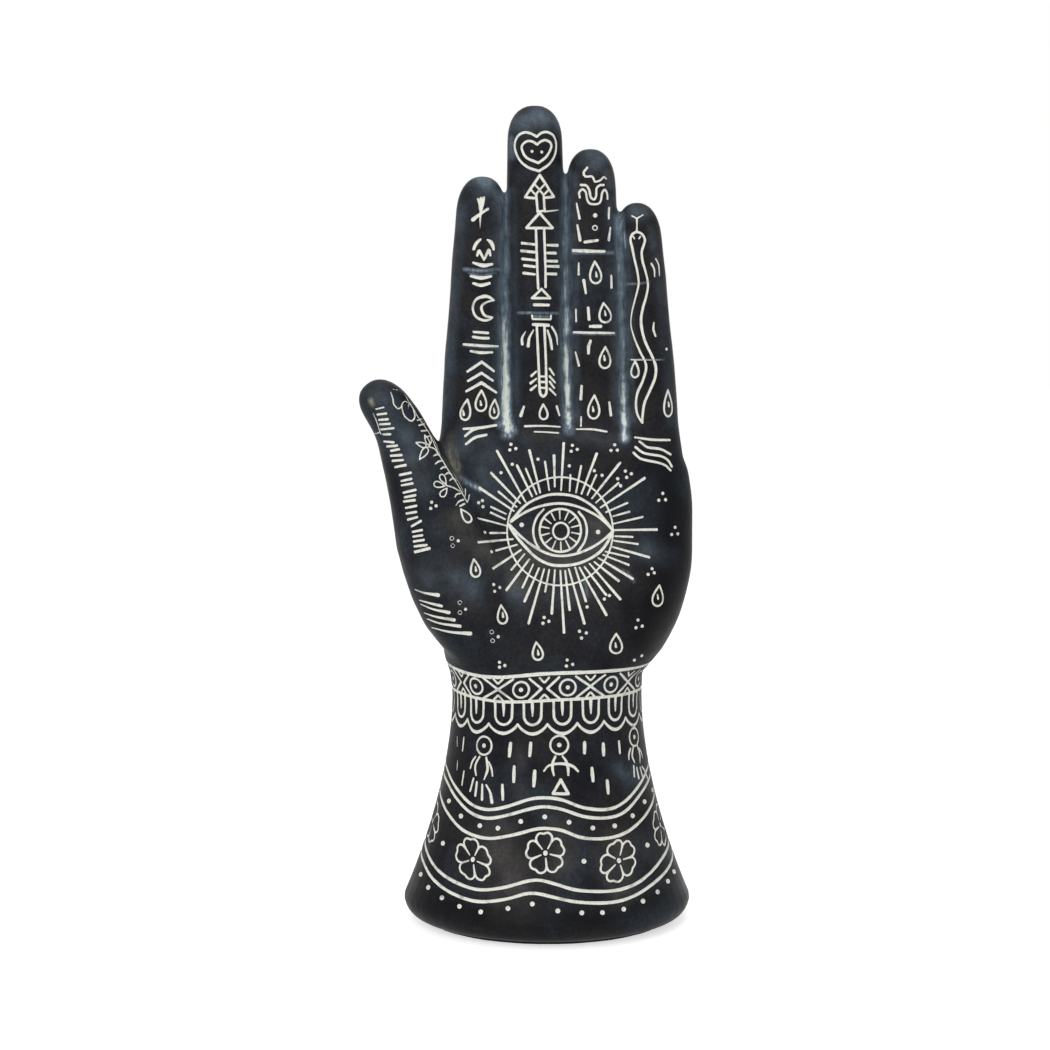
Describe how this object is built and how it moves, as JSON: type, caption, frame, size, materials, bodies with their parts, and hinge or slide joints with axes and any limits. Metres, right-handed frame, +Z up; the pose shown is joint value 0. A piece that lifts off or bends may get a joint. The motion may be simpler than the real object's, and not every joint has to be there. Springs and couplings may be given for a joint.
{
  "type": "hand sculpture",
  "caption": "Upright open hand ornament with fused fingers, a free thumb and a flared wrist that serves as its foot; the dark casting is carved all over with pale line ornament.",
  "frame": {"origin": "middle of the felt pad's underside, which the hand stands on", "axes": "+Z up along the fingers, -Y the way the palm looks, -X towards the thumb"},
  "size_m": [0.1182, 0.09, 0.29],
  "materials": {
    "dark_cast_resin": "satin",
    "closing_plate_resin": "matte",
    "felt": "matte",
    "cream_wash": "matte"
  },
  "bodies": {
    "root": {"hand_casting": "dark_cast_resin", "closing_plate": "closing_plate_resin", "felt_pad": "felt"}
  },
  "joints": []
}
